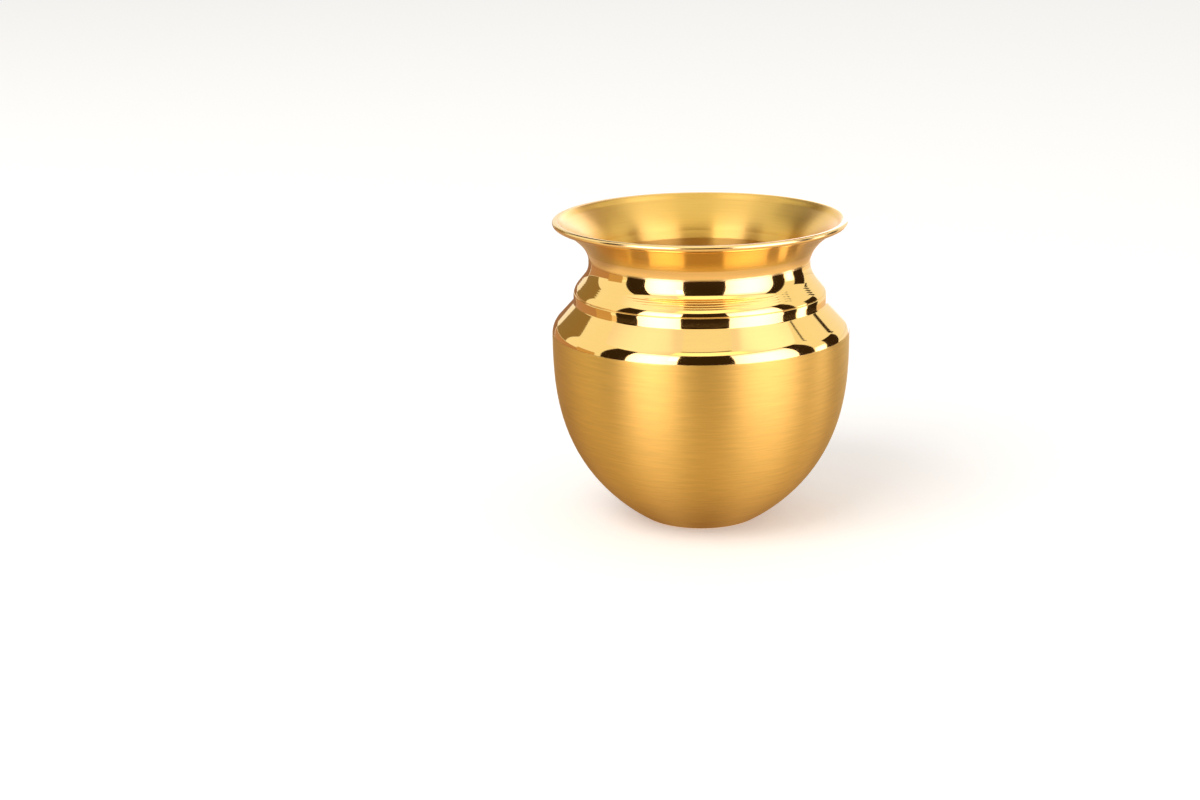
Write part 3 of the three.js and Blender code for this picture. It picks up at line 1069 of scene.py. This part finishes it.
# Colours of the cards
WHITE = linear("#FFFFFF")
PEARL = linear("#F3F0FF")
CREAM = linear("#FFF3DC")
SAND = linear("#CFAB7E")
ROSE = linear("#BC9377")
TAN = linear("#9C7558")
OLIVE = linear("#957F59")
BRONZE = linear("#8A6A3C")
DARK_GOLD = linear("#836943")
UMBER = linear("#3E2C18")
DARK_BROWN = linear("#33261B")


def stage_cards(studio):
    """Sets the cards that the metal mirrors round the pot."""
    cool, strength = tuple(studio.softbox_colour), studio.softbox_strength
    tall = (0, studio.card_height)

    # Softboxes with dark flags beside and between them, which cut the shoulder's bright bands into blocks
    card("left_flag", studio, (-78.5, -57), tall, DARK_BROWN)
    card("left_softbox", studio, (-57, -19.2), tall, cool, strength, side_fall=0.35, top_fall=0.6)
    card("left_lamp", studio, (-26, -19.8), (95 * MM, 165 * MM), WHITE, 5.5, gap=2 * MM)
    card("middle_flag", studio, (-19.2, 21), tall, DARK_BROWN)
    right_strength = strength * studio.right_share
    card("right_softbox", studio, (21, 70.7), tall, cool, right_strength, side_fall=0.4, top_fall=0.7)
    card("right_flag", studio, (70.7, 86), tall, DARK_BROWN)
    card("right_kicker", studio, (87, 100), (0, 70 * MM), cool, 4.2, side_fall=0.3, top_fall=0.4)
    card("back_softbox", studio, (146, 178), tall, cool, 2.6, side_fall=0.4, top_fall=0.6)

    # A low box and two slim stands, for the dark blocks and lines at the shoulder's right
    card("low_box", studio, (101, 119), (0, 110 * MM), DARK_BROWN)
    card("slim_stand", studio, (99, 100.4), (184 * MM, 228 * MM), DARK_BROWN, gap=2 * MM)
    card("far_stand", studio, (120.8, 124), (104 * MM, 146 * MM), DARK_BROWN, gap=2 * MM)

    # Warm boards, for the brown and tan patches at its left, behind and above
    card("left_board", studio, (-147, -121), (47 * MM, 150 * MM), OLIVE)
    card("left_low_board", studio, (-147, -104), (0, 45 * MM), ROSE)
    card("left_side_board", studio, (-104, -84), (0, 60 * MM), SAND)
    card("left_back_board", studio, (-178, -148), (0, 50 * MM), TAN)
    card("left_high_board", studio, (-168, -128), (165 * MM, 330 * MM), UMBER)
    card("right_high_board", studio, (130, 168), (180 * MM, 310 * MM), BRONZE)
    card("overhead_bar", studio, (-26, 35), (398 * MM, 455 * MM), DARK_GOLD)

    # Soft lights above, for the pale patches on the two cones
    card("overhead_strip", studio, (-30, 45), (225 * MM, 350 * MM), CREAM, 1.9, side_fall=0.2)
    glow = {"side_fall": 0.3, "top_fall": 0.3, "dimmest": 1.1}
    card("left_glow", studio, (-104, -28), (225 * MM, 540 * MM), PEARL, 1.45, **glow)
    glow = {"side_fall": 0.35, "top_fall": 0.35, "dimmest": 1.1}
    card("right_glow", studio, (38, 108), (225 * MM, 470 * MM), PEARL, 1.65, **glow)


class LOTA_OT_stage(Operator):
    """Set up the floor, the room, the cards, the lamp and the camera"""

    bl_idname = "lota.stage"
    bl_label = "Set the stage"

    def execute(self, context):
        settings = context.scene.lota
        studio = settings.studio
        studio_floor(studio)
        studio_world(studio)
        warm_board(studio)
        stage_cards(studio)
        studio_lamp("key_lamp", azimuth_degrees=-45, height=1.1, distance=0.9, size=0.9, power=9)
        context.scene.view_settings.view_transform = "Standard"
        studio_camera(settings)
        return {"FINISHED"}


class LOTA_PT_panel(Panel):
    """Sizes, finishes and buttons of the lota"""

    bl_label = "Spun brass lota"
    bl_idname = "LOTA_PT_panel"
    bl_space_type = "VIEW_3D"
    bl_region_type = "UI"
    bl_category = "Lota"

    def draw(self, context):
        settings = context.scene.lota
        for operator in OPERATORS:
            self.layout.operator(operator.bl_idname)
        for group in ("sheet", "bowl", "shoulder", "neck", "lathe", "finish", "studio"):
            box = self.layout.box()
            box.label(text=group.capitalize())
            for name in getattr(settings, group).bl_rna.properties.keys():
                if name not in ("rna_type", "name"):
                    box.prop(getattr(settings, group), name)


GROUPS = (
    LotaSheetSizes, LotaBowlSizes, LotaShoulderSizes, LotaNeckSizes, LotaLatheSettings, LotaFinishes,
    LotaStudio, LotaSettings,
)
OPERATORS = (LOTA_OT_bowl, LOTA_OT_shoulder, LOTA_OT_neck, LOTA_OT_seams, LOTA_OT_stage)


def register():
    """Registers the settings, the operators and the panel."""
    for cls in (*GROUPS, *OPERATORS, LOTA_PT_panel):
        bpy.utils.register_class(cls)
    bpy.types.Scene.lota = PointerProperty(type=LotaSettings)


def unregister():
    """Takes back what register added."""
    del bpy.types.Scene.lota
    for cls in reversed((*GROUPS, *OPERATORS, LOTA_PT_panel)):
        bpy.utils.unregister_class(cls)


def main():
    """Builds the pot and its stage."""
    register()
    bpy.ops.lota.bowl()
    bpy.ops.lota.shoulder()
    bpy.ops.lota.neck()
    bpy.ops.lota.seams()
    bpy.ops.lota.stage()


if __name__ == "__main__":
    main()
